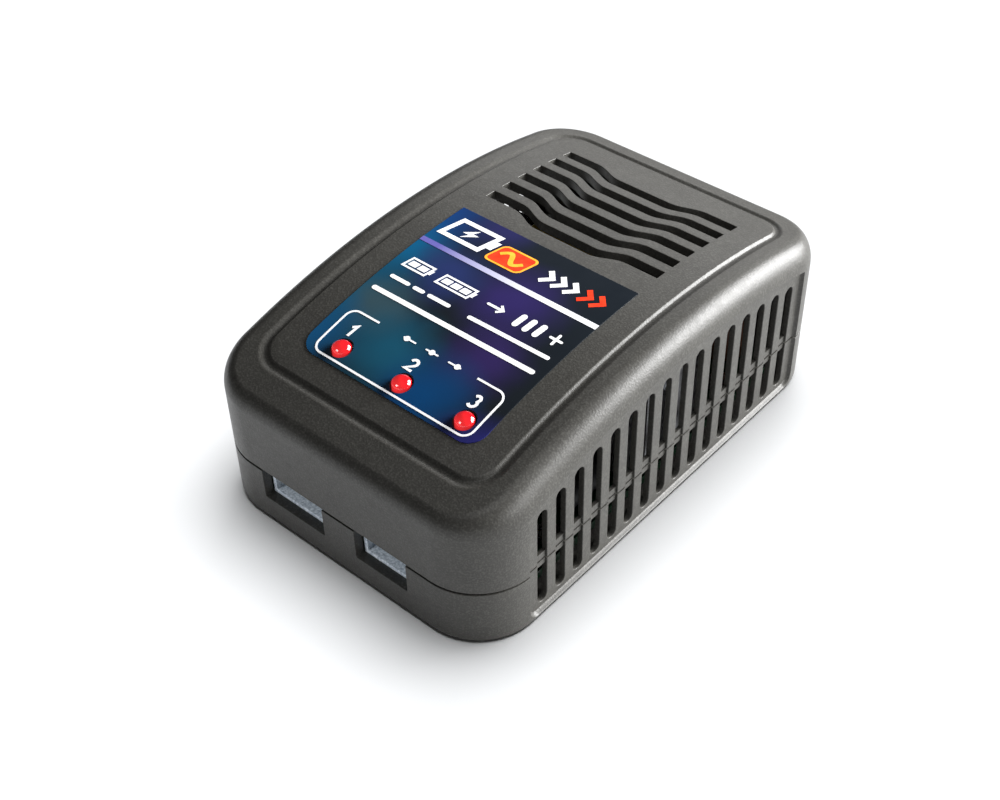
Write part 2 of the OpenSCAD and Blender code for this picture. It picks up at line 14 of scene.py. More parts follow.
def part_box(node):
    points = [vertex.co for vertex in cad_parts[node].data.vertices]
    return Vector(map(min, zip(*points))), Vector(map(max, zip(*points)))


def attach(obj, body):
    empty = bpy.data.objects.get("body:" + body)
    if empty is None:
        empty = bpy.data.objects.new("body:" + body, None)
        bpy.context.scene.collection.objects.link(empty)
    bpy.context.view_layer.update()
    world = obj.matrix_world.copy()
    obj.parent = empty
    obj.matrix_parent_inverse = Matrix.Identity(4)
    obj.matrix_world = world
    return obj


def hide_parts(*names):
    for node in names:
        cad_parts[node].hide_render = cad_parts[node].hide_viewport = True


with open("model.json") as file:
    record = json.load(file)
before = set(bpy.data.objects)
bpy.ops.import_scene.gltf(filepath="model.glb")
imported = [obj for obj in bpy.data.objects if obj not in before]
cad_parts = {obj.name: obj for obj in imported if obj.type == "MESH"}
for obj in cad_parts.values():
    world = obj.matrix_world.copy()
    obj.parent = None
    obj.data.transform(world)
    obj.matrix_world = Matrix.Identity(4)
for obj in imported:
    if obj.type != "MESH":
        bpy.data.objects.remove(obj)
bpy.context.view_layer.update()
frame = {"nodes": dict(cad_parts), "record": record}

MM = 0.001
ROOT = "root"


def span(node, axis):
    """Lowest and highest place of a node along an axis, in millimetres."""
    low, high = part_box(node)
    return low[axis] / MM, high[axis] / MM


def middle(node, axis):
    return sum(span(node, axis)) / 2


# ---- Sizes -----------------------------------------------------------------------------------------------

HALF_W = span("upper_shell", 0)[1]
HALF_L = span("upper_shell", 1)[1]
UPPER_BASE, TOP_Z = span("upper_shell", 2)
SEAM_GAP = 0.25
SEAM_EXTRA = 0.13  # the visible parting line is this much wider than the frame's
SEAM_Z = UPPER_BASE - SEAM_GAP / 2
LOWER_TOP = UPPER_BASE - SEAM_GAP - SEAM_EXTRA
TONGUE_TOP = span("lower_shell", 2)[1]
TONGUE_BASE = SEAM_Z - 1.2
TONGUE_T = 0.6
TONGUE_PLAY = 0.1
BOARD_TOP = span("main_board", 2)[1]
POST_TOP = span("main_board", 2)[0]
CORNER_R = 10.2
WALL = 1.6
FLOOR_T = 1.6
BASE_R = 1.0
EDGE_R = 0.1
MERGE = 2e-7  # points closer than this, in metres, become one

# The arched top, its rolled edge and the groove round the raised panel
ARCH_R = 141
ARCH_Y = 3.8
ROLL_SIDE = 3.8
ROLL_END = 2.4
ROLL_TALL = 1.35
GROOVE_SIDE = 6.6
GROOVE_FRONT = 6.9
GROOVE_BACK = 5.3
GROOVE_W = 3.0
GROOVE_DEPTH = 0.42
GROOVE_FOOT = -0.12
GROOVE_LIP = 0.3

# Wavy slots in the top
WAVE_COUNT = 6
WAVE_PITCH = 3.92
WAVE_Y = 11.03
WAVE_W = 1.95
WAVE_HALF = 17
WAVE_STEP = 1.98
WAVE_BEND = (5.1, 11.2)
WAVE_CUT = 4

# Room left round the sockets, the inlet and the label underneath
SOCKET_PLAY = 0.4
INLET_PLAY = 0.3
POCKET_PLAY = 0.6

# Upright slots in the sides and the sunken panels round them
SLOT_COUNT = 16
SLOT_PITCH = 4.07
SLOT_W = 2.1
SLOT_BASE_Z = 2.1
SLOT_TOP_Z = 25.6
SLOT_ARC_R = 121
VENT_Y = 0.4
RECESS = 0.65
RECESS_HALF = SLOT_PITCH * (SLOT_COUNT - 1) / 2 + 2.9
RECESS_BASE_Z = 1.25
RECESS_R = 1.6
RECESS_ABOVE = 1.9
RECESS_SLOPE = 0.6
RECESS_RIM = 0.03
BAR_HALF = SLOT_PITCH * SLOT_COUNT / 2 - 0.4
LIP = 0.13

# Fastenings
BOSS = (23, 37.2)
BOSS_D = 6.5
PILOT_D = 2.05
PILOT_DEPTH = 7
BOSS_PLAY = 0.4
COUNTERBORE_D = 5.2
COUNTERBORE_DEPTH = 2.4
CLEARANCE_D = 2.8
POST = (22.4, 22)
POST_D = 5

# Label and lights
LABEL_HALF = span("top_label", 0)[1]
LABEL_FRONT, LABEL_BACK = span("top_label", 1)
LABEL_R = 3
FILM_T = 0.15
FILM_GAP = 0.01
INK_T = 0.04
INK_SINK = 0.02
LIGHTS = ("led_first", "led_second", "led_third")
LED_D = 3.2
LED_HOLE_D = LED_D + 0.3
FILM_HOLE_D = LED_D + 0.4
LENS_R = LED_D / 2 - 0.08
LENS_FLANGE = 0.4
LENS_EDGE = 0.08
LENS_RISE = 1.1

# Layout of the print: places of its rows, and widths of its lines
BATTERY_AT = (-11.6, 0.2)
BADGE_AT = (-2.6, -0.6)
CHEVRON_Y = -0.4
CHEVRON_PITCH = 2.3
CHEVRON_HALF = 1.45
STRIPE_Y = -4.9
STRIPE_W = 1
SMALL_Y = -10.3
BAR_Y = -14.1
FRAME_BOX = (-15.2, 15.4, -31.2, -22.4)
FRAME_R = 1.6
FRAME_OPEN = 9.7
FRAME_LINE = 0.34
HEAVY = 0.85
MEDIUM = 0.7
LIGHT = 0.45

# How finely curves are drawn
CORNER_STEPS = 20
SIDE_STEPS = 48
ROLL_STEPS = 14
HOLLOW_STEPS = 6
BASE_STEPS = 6
ROUND_STEPS = 4
GENTLE_STEPS = 10
STEEP_STEPS = 8
RECESS_STEPS = 6
RECESS_TOP_STEPS = 40
WAVE_STEPS = 68
FILM_STEPS = 60
DOME_STEPS = 16


# ---- Curves ----------------------------------------------------------------------------------------------

def arch_z(y):
    return TOP_Z - ARCH_R + math.sqrt(ARCH_R**2 - (y - ARCH_Y) ** 2)


def arch_slope(y):
    return -(y - ARCH_Y) / math.sqrt(ARCH_R**2 - (y - ARCH_Y) ** 2)


def slot_tip_z(y):
    return SLOT_TOP_Z - SLOT_ARC_R + math.sqrt(SLOT_ARC_R**2 - (y - ARCH_Y) ** 2)


def smooth(t):
    """0 below 0, 1 above 1, and half a cosine wave between."""
    return (1 - math.cos(math.pi * min(max(t, 0), 1))) / 2


def wave_shift(x):
    start, end = WAVE_BEND
    return -WAVE_STEP * (1 - smooth((abs(x) - start) / (end - start)))


def ring(side_in, front_in, back_in, r):
    """Points (x, y, normal x, normal y) round a rounded rectangle, from its front right corner."""
    x, front, back = HALF_W - side_in, front_in - HALF_L + r, HALF_L - back_in - r

    def corner(cx, cy, quarter):
        angles = [math.pi / 2 * (quarter - 1 + i / CORNER_STEPS) for i in range(CORNER_STEPS + 1)]
        return [(cx + r * math.cos(a), cy + r * math.sin(a), math.cos(a), math.sin(a)) for a in angles]

    def side(sx, start, end):
        return [
            (sx * x, start + (end - start) * k / SIDE_STEPS, sx, 0) for k in range(1, SIDE_STEPS)
        ]

    return (
        corner(x - r, front, 0) + side(1, front, back) + corner(x - r, back, 1)
        + corner(r - x, back, 2) + side(-1, back, front) + corner(r - x, front, 3)
    )


def inset_ring(d):
    return ring(d, d, d, CORNER_R - d)


def flat(outline, z):
    return [(p[0], p[1], z) for p in outline]


def roll_ring(outline, reach_side, reach_end, t, drop):
    """One ring of the rolled edge: t is 0 at the upright wall and 1 at the top."""
    points = []
    for x, y, nx, ny in outline:
        reach = reach_side * nx * nx + reach_end * ny * ny
        lean = math.atan(-arch_slope(y) * ny / ROLL_TALL)
        a = t * (math.pi / 2 - lean)
        inward = reach * (1 - math.cos(a))
        rise = ROLL_TALL * reach * (math.sin(a) - math.tan(math.pi / 4 - lean / 2))
        points.append((x - nx * inward, y - ny * inward, arch_z(y) - drop + rise))
    return points


def groove_ring(u):
    """One ring of the panel groove, from its outer lip at -1 to its inner lip at 1."""
    share = 1 + u * GROOVE_W / 2 / GROOVE_SIDE
    d = share * GROOVE_SIDE
    outline = ring(d, share * GROOVE_FRONT, share * GROOVE_BACK, CORNER_R - 0.9 * d)
    down = smooth((u + 1) / (GROOVE_FOOT + 1))
    up = smooth((GROOVE_LIP - u) / (GROOVE_LIP - GROOVE_FOOT))
    depth = GROOVE_DEPTH * min(down, up)
    return [(p[0], p[1], arch_z(p[1]) - depth) for p in outline]


def groove_steps():
    """Places across the groove: far apart on its gentle outer slope and close on the steep inner one."""
    gentle = [-1 + (GROOVE_FOOT + 1) * i / GENTLE_STEPS for i in range(GENTLE_STEPS)]
    steep = [GROOVE_FOOT + (GROOVE_LIP - GROOVE_FOOT) * i / STEEP_STEPS for i in range(STEEP_STEPS + 1)]
    return gentle + steep + [1]


def arc(cx, cy, r, start, end, steps):
    """Points along an arc, angles in degrees."""
    angles = [math.radians(start + (end - start) * i / steps) for i in range(steps + 1)]
    return [(cx + r * math.cos(a), cy + r * math.sin(a)) for a in angles]


def circle(cx, cy, d, steps=32):
    return arc(cx, cy, d / 2, 0, 360, steps)[:-1]


def rounded_rect(cx, cy, w, h, r, steps=6):
    x, y = w / 2 - r, h / 2 - r
    corners = ((x, -y, -90), (x, y, 0), (-x, y, 90), (-x, -y, 180))
    return [p for dx, dy, a in corners for p in arc(cx + dx, cy + dy, r, a, a + 90, steps)]


def stadium(cx, low, high, w, steps=10):
    r = w / 2
    return arc(cx, low + r, r, 180, 360, steps) + arc(cx, high - r, r, 0, 180, steps)


def grow(outline, amount):
    """The outline moved outward by an amount, its corners mitred."""
    grown = []
    for before, here, after in zip(outline[-1:] + outline[:-1], outline, outline[1:] + outline[:1]):
        a = Vector((here[1] - before[1], before[0] - here[0])).normalized()
        b = Vector((after[1] - here[1], here[0] - after[0])).normalized()
        m = (a + b) / max(1 + a.dot(b), 0.4)
        grown.append((here[0] + m.x * amount, here[1] + m.y * amount))
    return grown


# ---- Mesh work -------------------------------------------------------------------------------------------

def to_object(bm, name):
    mesh = bpy.data.meshes.new(name)
    bm.to_mesh(mesh)
    bm.free()
    piece = bpy.data.objects.new(name, mesh)
    bpy.context.scene.collection.objects.link(piece)
    return piece


def add_skin(bm, rings, strips_on_top=False):
    """Adds a closed solid through a stack of rings; an arched top is closed in strips across."""
    rows = [[bm.verts.new(Vector(p) * MM) for p in r] for r in rings]
    n = len(rows[0])
    for low, high in zip(rows, rows[1:]):
        for j in range(n):
            k = (j + 1) % n
            bm.faces.new((low[j], low[k], high[k], high[j]))
    bm.faces.new(rows[0][::-1])
    top = rows[-1]
    if strips_on_top:
        for j in range(n // 2 - 1):
            bm.faces.new((top[j], top[j + 1], top[n - 2 - j], top[n - 1 - j]))
    else:
        bm.faces.new(top)


def solid(name, *stacks, strips_on_top=False):
    """An object of closed solids, each a stack of rings."""
    bm = bmesh.new()
    for rings in stacks:
        add_skin(bm, rings, strips_on_top)
    bmesh.ops.recalc_face_normals(bm, faces=bm.faces)
    return to_object(bm, name)


def settled(piece):
    """Applies a piece's modifiers."""
    depsgraph = bpy.context.evaluated_depsgraph_get()
    mesh = bpy.data.meshes.new_from_object(piece.evaluated_get(depsgraph))
    piece.modifiers.clear()
    old, piece.data = piece.data, mesh
    bpy.data.meshes.remove(old)
    mesh.name = piece.name
    return piece


def combine(piece, other, operation="DIFFERENCE"):
    """A boolean with another object, which is used up."""
    step = piece.modifiers.new("combine", "BOOLEAN")
    step.operation = operation
    step.solver = "EXACT"
    step.object = other
    settled(piece)
    bpy.data.objects.remove(other)
    return piece


def finish_mesh(piece, angle=30):
    """Merges what a boolean left too close, and shades smooth up to an angle."""
    bm = bmesh.new()
    bm.from_mesh(piece.data)
    bmesh.ops.remove_doubles(bm, verts=bm.verts, dist=MERGE)
    bmesh.ops.dissolve_degenerate(bm, edges=bm.edges, dist=MERGE)
    bm.to_mesh(piece.data)
    bm.free()
    for polygon in piece.data.polygons:
        polygon.use_smooth = True
    piece.data.set_sharp_from_angle(angle=math.radians(angle))
    weighted = piece.modifiers.new("weighted normals", "WEIGHTED_NORMAL")
    weighted.keep_sharp = True
    weighted.weight = 80
    return piece


def rounded_mouth(depth, lip, beyond=1.0):
    """Layers (depth, growth) of a cutter that leaves a rounded edge, from its far end up past the surface."""
    angles = [math.pi / 2 * i / ROUND_STEPS for i in range(ROUND_STEPS + 1)]
    return (
        [(depth, 0)]
        + [(lip * (1 - math.sin(a)), lip * (1 - math.cos(a))) for a in angles]
        + [(-beyond, lip)]
    )


def bored(outline, layers, place):
    """A cutter's rings: the outline at each layer, where place turns (u, v, depth) into (x, y, z)."""
    return [[place(u, v, depth) for u, v in grow(outline, growth)] for depth, growth in layers]


def on_side(sx, surface):
    return lambda u, v, depth: (sx * (surface - depth), u, v)


def on_top(u, v, depth):
    return (u, v, arch_z(v) - depth)


def on_front(u, v, depth):
    return (u, depth - HALF_L, v)


def on_back(u, v, depth):
    return (-u, HALF_L - depth, v)


def on_base(u, v, depth):
    return (-u, v, depth)


def upright(outline, low, high):
    return [[(u, v, z) for u, v in outline] for z in (low, high)]


def corners(at):
    return [(sx * at[0], sy * at[1]) for sx in (-1, 1) for sy in (-1, 1)]


def posts(at, d, low, high, steps=32):
    """Four upright cylinders, one in each corner."""
    return [upright(circle(x, y, d, steps), low, high) for x, y in corners(at)]


def prism(inset, low, high):
    """An upright prism, its outline inside the housing's by an inset."""
    return upright([point[:2] for point in inset_ring(inset)], low, high)


# ---- Housing ---------------------------------------------------------------------------------------------

def recess_outline():
    """The sunken side panel in (y, z), its top edge parallel to the slot tips."""
    low, high = VENT_Y - RECESS_HALF, VENT_Y + RECESS_HALF
    base = RECESS_BASE_Z + RECESS_R
    tops = [high + (low - high) * i / RECESS_TOP_STEPS for i in range(RECESS_TOP_STEPS + 1)]
    return (
        arc(low + RECESS_R, base, RECESS_R, 180, 270, 6)
        + arc(high - RECESS_R, base, RECESS_R, 270, 360, 6)
        + [(y, slot_tip_z(y) + RECESS_ABOVE) for y in tops]
    )


def side_recesses():
    """Cutters for the sunken panels, whose edges slope gently up to the wall."""
    layers = [(RECESS, 0)]
    for i in range(1, RECESS_STEPS + 1):
        share = i / RECESS_STEPS
        layers.append((RECESS * (1 - smooth(share)) - RECESS_RIM, RECESS_SLOPE * share))
    layers.append((-1, RECESS_SLOPE))
    return solid("recesses", *[bored(recess_outline(), layers, on_side(sx, HALF_W)) for sx in (-1, 1)])


def side_slots():
    first = VENT_Y - SLOT_PITCH * (SLOT_COUNT - 1) / 2
    places = [first + k * SLOT_PITCH for k in range(SLOT_COUNT)]
    return [
        bored(
            stadium(y, SLOT_BASE_Z, slot_tip_z(y), SLOT_W),
            rounded_mouth(WALL, LIP),
            on_side(sx, HALF_W - RECESS),
        )
        for sx in (-1, 1)
        for y in places
    ]


def wave_slots():
    xs = [-WAVE_HALF + 2 * WAVE_HALF * i / WAVE_STEPS for i in range(WAVE_STEPS + 1)]
    slots = []
    for k in range(WAVE_COUNT):
        y = WAVE_Y + k * WAVE_PITCH
        near = [(x, y + wave_shift(x) - WAVE_W / 2) for x in xs]
        far = [(x, y + wave_shift(x) + WAVE_W / 2) for x in xs[::-1]]
        slots.append(bored(near + far, rounded_mouth(WAVE_CUT, LIP), on_top))
    return slots


def inlet_hole():
    w, h = (b - a + INLET_PLAY for a, b in (span("mains_inlet", 0), span("mains_inlet", 2)))
    outline = rounded_rect(0, middle("mains_inlet", 2), w, h, 3)
    return bored(outline, rounded_mouth(WALL + 1, EDGE_R), on_back)


def vent_bars(low, high, thickness=TONGUE_T):
    """Bars along the inside of the side slots, one box for each side."""
    x = HALF_W - WALL + thickness / 2
    boxes = [rounded_rect(s * x, VENT_Y, thickness, 2 * BAR_HALF, 0.01, 1) for s in (-1, 1)]
    return solid("vent_bars", *[upright(b, low, high) for b in boxes])


def seam_rings(z, direction):
    """Rings of the small radius where a shell meets the parting line."""
    angles = [math.pi / 2 * i / ROUND_STEPS for i in range(ROUND_STEPS + 1)]
    rings = [
        flat(inset_ring(EDGE_R * (1 - math.sin(a))), z + direction * EDGE_R * (1 - math.cos(a)))
        for a in angles
    ]
    return rings if direction > 0 else rings[::-1]


def upper_shell():
    outline = inset_ring(0)
    shell = solid(
        "housing_upper",
        seam_rings(UPPER_BASE, 1)
        + [roll_ring(outline, ROLL_SIDE, ROLL_END, i / ROLL_STEPS, 0) for i in range(ROLL_STEPS + 1)]
        + [groove_ring(u) for u in groove_steps()],
        strips_on_top=True,
    )
    inner = inset_ring(WALL)
    hollow = solid(
        "hollow",
        [flat(inner, UPPER_BASE - 1)] + [
            roll_ring(inner, ROLL_SIDE - WALL, ROLL_END - WALL, i / HOLLOW_STEPS, WALL)
            for i in range(HOLLOW_STEPS + 1)
        ],
        strips_on_top=True,
    )
    step_inset = WALL - TONGUE_T - TONGUE_PLAY
    step = solid("step", prism(step_inset, UPPER_BASE - 0.5, TONGUE_TOP + TONGUE_PLAY))
    combine(step, vent_bars(UPPER_BASE - 2, TONGUE_TOP + 2, WALL + 1))
    combine(hollow, step, "UNION")
    combine(hollow, solid("bosses", *posts(BOSS, BOSS_D, UPPER_BASE - 2, TOP_Z + 5)))
    combine(shell, hollow)
    combine(shell, side_recesses())
    led_holes = [
        bored(circle(middle(n, 0), middle(n, 1), LED_HOLE_D), [(8, 0), (-2, 0)], on_top) for n in LIGHTS
    ]
    pilots = posts(BOSS, PILOT_D, UPPER_BASE - 1, UPPER_BASE + PILOT_DEPTH)
    combine(shell, solid("cuts", *side_slots(), *wave_slots(), *led_holes, *pilots, inlet_hole()))
    combine(shell, vent_bars(UPPER_BASE, TONGUE_TOP), "UNION")
    return finish_mesh(shell)


def socket_notch(node):
    """Cutter for the notch in the front wall round a socket."""
    low, high = span(node, 0)
    outline = rounded_rect((low + high) / 2, BOARD_TOP + 5, high - low + SOCKET_PLAY, 10, 0.12, 3)
    return bored(outline, rounded_mouth(WALL + 1, 0.08), on_front)


def lower_shell():
    angles = [math.pi / 2 * i / BASE_STEPS for i in range(BASE_STEPS + 1)]
    shell = solid(
        "housing_lower",
        [flat(inset_ring(BASE_R * (1 - math.sin(a))), BASE_R * (1 - math.cos(a))) for a in angles]
        + seam_rings(LOWER_TOP, -1),
    )
    combine(shell, solid("hollow", prism(WALL, FLOOR_T, LOWER_TOP + 5)))
    combine(shell, side_recesses())
    combine(shell, solid("cuts", *side_slots()))
    tongue = solid("tongue", prism(WALL - TONGUE_T, TONGUE_BASE, TONGUE_TOP))
    below, above = TONGUE_BASE - 1, TONGUE_TOP + 1
    combine(tongue, solid("inside", prism(WALL, below, above)))
    zone = rounded_rect(0, 0, 2 * HALF_W, 2 * (BAR_HALF + 0.3 + VENT_Y), 0.01, 1)
    around = posts(BOSS, BOSS_D + BOSS_PLAY, below, above)
    combine(tongue, solid("zone", upright(zone, below, above), *around))
    combine(shell, tongue, "UNION")
    combine(shell, solid("notches", socket_notch("socket_four_pin"), socket_notch("socket_three_pin")))
    combine(shell, solid("inlet", inlet_hole()))
    combine(shell, vent_bars(TONGUE_BASE, LOWER_TOP), "UNION")
    bosses = posts(BOSS, BOSS_D, FLOOR_T - 0.5, LOWER_TOP) + posts(POST, POST_D, FLOOR_T - 0.5, POST_TOP)
    combine(shell, solid("bosses", *bosses), "UNION")
    pocket = [b - a + POCKET_PLAY for a, b in (span("rating_label", 0), span("rating_label", 1))]
    combine(shell, solid("counterbores", *[
        bored(circle(x, y, COUNTERBORE_D), rounded_mouth(COUNTERBORE_DEPTH, EDGE_R), on_base)
        for x, y in corners(BOSS)]))
    pocket_outline = rounded_rect(0, 0, *pocket, 2)
    combine(shell, solid("pocket", bored(pocket_outline, rounded_mouth(FILM_T, 0.06), on_base)))
    combine(shell, solid("bores", *posts(BOSS, CLEARANCE_D, -1, LOWER_TOP + 2, 20)))
    return finish_mesh(shell)


# ---- Label and lights ------------------------------------------------------------------------------------

def label_film():
    """The printed film: a thin sheet that follows the arch, with rounded front corners and three holes."""
    left, right = -LABEL_HALF, LABEL_HALF
    start = LABEL_FRONT + LABEL_R
    left_corner = arc(left + LABEL_R, start, LABEL_R, 180, 270, 12)
    right_corner = arc(right - LABEL_R, start, LABEL_R, 270, 360, 12)
    length = LABEL_BACK - LABEL_FRONT - LABEL_R
    ys = [start + length * i / FILM_STEPS for i in range(1, FILM_STEPS + 1)]
    rows = [(p[0], q[0], p[1]) for p, q in zip(left_corner[::-1], right_corner)]
    rows += [(left, right, y) for y in ys]
    bm = bmesh.new()

    def layer(lift):
        return [
            [bm.verts.new(Vector((x, y, arch_z(y) + lift)) * MM) for x in (a, b)] for a, b, y in rows
        ]

    below, above = layer(FILM_GAP), layer(FILM_T)
    for i in range(len(rows) - 1):
        bm.faces.new((above[i][0], above[i][1], above[i + 1][1], above[i + 1][0]))
        bm.faces.new((below[i][1], below[i][0], below[i + 1][0], below[i + 1][1]))
        for s in (0, 1):
            bm.faces.new((below[i][s], above[i][s], above[i + 1][s], below[i + 1][s]))
    for i in (0, -1):
        bm.faces.new((below[i][0], below[i][1], above[i][1], above[i][0]))
    bmesh.ops.recalc_face_normals(bm, faces=bm.faces)
    film = to_object(bm, "label_film")
    holes = [circle(middle(n, 0), middle(n, 1), FILM_HOLE_D, 48) for n in LIGHTS]
    combine(film, solid("holes", *[upright(hole, TOP_Z - 12, TOP_Z + 5) for hole in holes]))
    return finish_mesh(film)


def lathe(name, centre, profile, steps=48):
    """A solid of revolution about an upright axis; profile is a list of (radius, height)."""
    rings = [
        [(centre[0] + r * c, centre[1] + r * s, z) for c, s in circle(0, 0, 2, steps)] for r, z in profile
    ]
    return finish_mesh(solid(name, rings))


def led_lens(node):
    """A domed lens with its flange, a little narrower and blunter than the frame's."""
    low, high = span(node, 2)
    dome = high - LED_D / 2
    wide, edge = LENS_R + LENS_FLANGE, LENS_EDGE
    lens = [(wide - edge, low), (wide, low + edge), (wide, low + 1 - edge), (wide - edge, low + 1)]
    lens.append((LENS_R, low + 1))
    for i in range(DOME_STEPS):
        a = math.pi / 2 * i / DOME_STEPS
        lens.append((LENS_R * math.cos(a), dome + LENS_RISE * math.sin(a)))
    lens.append((0.02, dome + LENS_RISE))
    return lathe(node + "_lens", (middle(node, 0), middle(node, 1)), lens)


# ---- Printing on the label -------------------------------------------------------------------------------

def draped(name, shapes, layer=0):
    """Thin ink in flat shapes, laid on the label or on a layer of ink before it.

    A shape is a convex outline, or a pair of rows of points for the two sides of a line.
    """
    base = FILM_T + layer * INK_T / 2
    bm = bmesh.new()

    def row(points, lift):
        return [bm.verts.new(Vector((x, y, arch_z(y) + base + lift)) * MM) for x, y in points]

    for shape in shapes:
        line = isinstance(shape, tuple)
        border = list(shape[0]) + list(shape[1])[::-1] if line else shape
        low, high = row(border, -INK_SINK), row(border, INK_T)
        n = len(border)
        if line:
            for j in range(n // 2 - 1):
                bm.faces.new((high[j], high[j + 1], high[n - 2 - j], high[n - 1 - j]))
                bm.faces.new((low[n - 1 - j], low[n - 2 - j], low[j + 1], low[j]))
        else:
            bm.faces.new(high)
            bm.faces.new(low[::-1])
        for j in range(n):
            k = (j + 1) % n
            bm.faces.new((low[j], low[k], high[k], high[j]))
    bmesh.ops.recalc_face_normals(bm, faces=bm.faces)
    return to_object(bm, name)


def stroke(points, width):
    """The two sides of a line of even width along points."""
    left, right = [], []
    for i, p in enumerate(points):
        before, after = points[max(i - 1, 0)], points[min(i + 1, len(points) - 1)]
        a = Vector((p[0] - before[0], p[1] - before[1]))
        b = Vector((after[0] - p[0], after[1] - p[1]))
        a, b = (a if a.length else b).normalized(), (b if b.length else a).normalized()
        m = Vector((-a.y - b.y, a.x + b.x)) / max(1 + a.dot(b), 0.4) * width / 2
        left.append((p[0] + m.x, p[1] + m.y))
        right.append((p[0] - m.x, p[1] - m.y))
    return right, left


def bar(x0, y0, x1, y1, width):
    """A straight bar with round ends."""
    along = Vector((x1 - x0, y1 - y0))
    turn = math.degrees(math.atan2(along.y, along.x))
    r = width / 2
    steps = max(2, int(along.length))
    near = [(x0 + along.x * i / steps, y0 + along.y * i / steps) for i in range(1, steps)]
    side = Vector((-along.y, along.x)).normalized() * r
    return (
        arc(x0, y0, r, turn + 90, turn + 270, 8) + [(x - side.x, y - side.y) for x, y in near]
        + arc(x1, y1, r, turn - 90, turn + 90, 8) + [(x + side.x, y + side.y) for x, y in near[::-1]]
    )


def slanted(shape, at, lean=0.25):
    """A shape moved to a place, and leaned to the right like italic type."""
    if isinstance(shape, tuple):
        return tuple(slanted(side, at, lean) for side in shape)
    return [(at[0] + x + lean * y, at[1] + y) for x, y in shape]


def battery(at, w, h, line, cells):
    """A battery pictogram: a frame with a terminal and a block for each cell."""
    x, y = w / 2, h / 2
    outline = [(x, 0.001), (x, y), (-x, y), (-x, -y), (x, -y), (x, -0.001)]
    cap = (x + line / 2, x + line * 1.6)
    shapes = [stroke(outline, line), [(cap[0], -y / 2), (cap[1], -y / 2), (cap[1], y / 2), (cap[0], y / 2)]]
    gap = line * 0.9
    for k in range(cells):
        room = (w - line - gap) / cells
        x0 = -x + line / 2 + gap + k * room
        low = -y + line / 2 + gap
        shapes.append([(x0, low), (x0 + room - gap, low), (x0 + room - gap, -low), (x0, -low)])
    return [slanted(shape, at) for shape in shapes]


def chevron(at, size, width):
    return slanted(stroke([(-size / 2, size), (size / 2, 0), (-size / 2, -size)], width), at, 0.1)


def numeral(digit, at):
    """The figure 1, 2 or 3, two millimetres tall."""
    paths = {
        1: [(-0.55, 0.5), (0.1, 1.05), (0.1, -1.1)],
        2: arc(0, 0.42, 0.6, 165, -42, 12) + [(-0.66, -0.92), (0.75, -0.92)],
        3: arc(-0.02, 0.47, 0.53, 150, -75, 12) + arc(0, -0.43, 0.62, 70, -150, 14)[1:],
    }
    return slanted(stroke(paths[digit], 0.46), at, 0.1)


def stripe():
    """The stripe across the whole label, front of its largest pictograms."""
    edge, front, back = LABEL_HALF - 0.01, STRIPE_Y - STRIPE_W / 2, STRIPE_Y + STRIPE_W / 2
    return [(-edge, front), (edge, front), (edge, back), (-edge, back)]


def light_frame():
    """The rounded frame round the lights, open at its back between the first and last."""
    left, right, front, back = FRAME_BOX
    r = FRAME_R
    return (
        [(-FRAME_OPEN, back)]
        + arc(left + r, back - r, r, 90, 180, 8)
        + [(left, front + (back - front) * k / 4) for k in (2, 1)]
        + arc(left + r, front + r, r, 180, 270, 8)
        + arc(right - r, front + r, r, 270, 360, 8)
        + [(right, (front + back) / 2)]
        + arc(right - r, back - r, r, 0, 90, 8)
        + [(FRAME_OPEN, back)]
    )


def bolt():
    """The two sides of a lightning bolt, from its top down."""
    right = [(0.45, 1.4), (0.1, 0.3), (1.35, 0.3), (-0.6, -1.4)]
    left = [(0.35, 1.4), (-1.35, -0.25), (-0.1, -0.25), (-0.7, -1.4)]
    return right, left


def white_shapes():
    """Pictograms, bars, figures and the frame round the lights."""
    back = FRAME_BOX[3]
    lights = [(middle(n, 0), middle(n, 1)) for n in LIGHTS]
    shapes = battery(BATTERY_AT, 7.6, 4.4, HEAVY, 0)
    shapes.append(slanted(bolt(), BATTERY_AT))
    shapes += [chevron((4.6 + CHEVRON_PITCH * k, CHEVRON_Y), CHEVRON_HALF, HEAVY) for k in range(3)]
    shapes += battery((-12.9, SMALL_Y), 4.4, 2.1, 0.36, 2)
    shapes += battery((-5.2, SMALL_Y), 6.2, 2.1, 0.36, 3)
    shapes.append(bar(1.2, SMALL_Y, 3.6, SMALL_Y, LIGHT))
    shapes.append(slanted(stroke([(-0.7, 0.8), (0.2, 0), (-0.7, -0.8)], 0.42), (3.9, SMALL_Y), 0))
    shapes += [bar(7.2 + 1.9 * k, -11.3, 7.4 + 1.9 * k, -9.4, 1.0) for k in range(3)]
    shapes += [bar(13.2, -10.4, 15.2, -10.4, LIGHT), bar(14.2, -11.4, 14.2, -9.4, LIGHT)]
    shapes += [bar(x0, BAR_Y, x1, BAR_Y, MEDIUM) for x0, x1 in ((-14.9, -11.6), (-10.2, -8.6), (-7.2, -3.4))]
    shapes.append(bar(-15.5, -17.4, 15.4, -17.2, HEAVY))
    shapes.append(bar(0.8, BAR_Y, 15.5, BAR_Y + 0.2, MEDIUM))
    shapes.append(stroke(light_frame(), FRAME_LINE))
    for k in range(3):
        x = lights[1][0] + (k - 1) * 4.4
        shapes.append(bar(x - 1.1, back, x + 1.1, back, 0.28))
        shapes.append(circle(x + (k - 1) * 0.55, back, 1.0, 16))
    shapes += [numeral(k + 1, (x - 0.9, y + 3.2)) for k, (x, y) in enumerate(lights)]
    return shapes


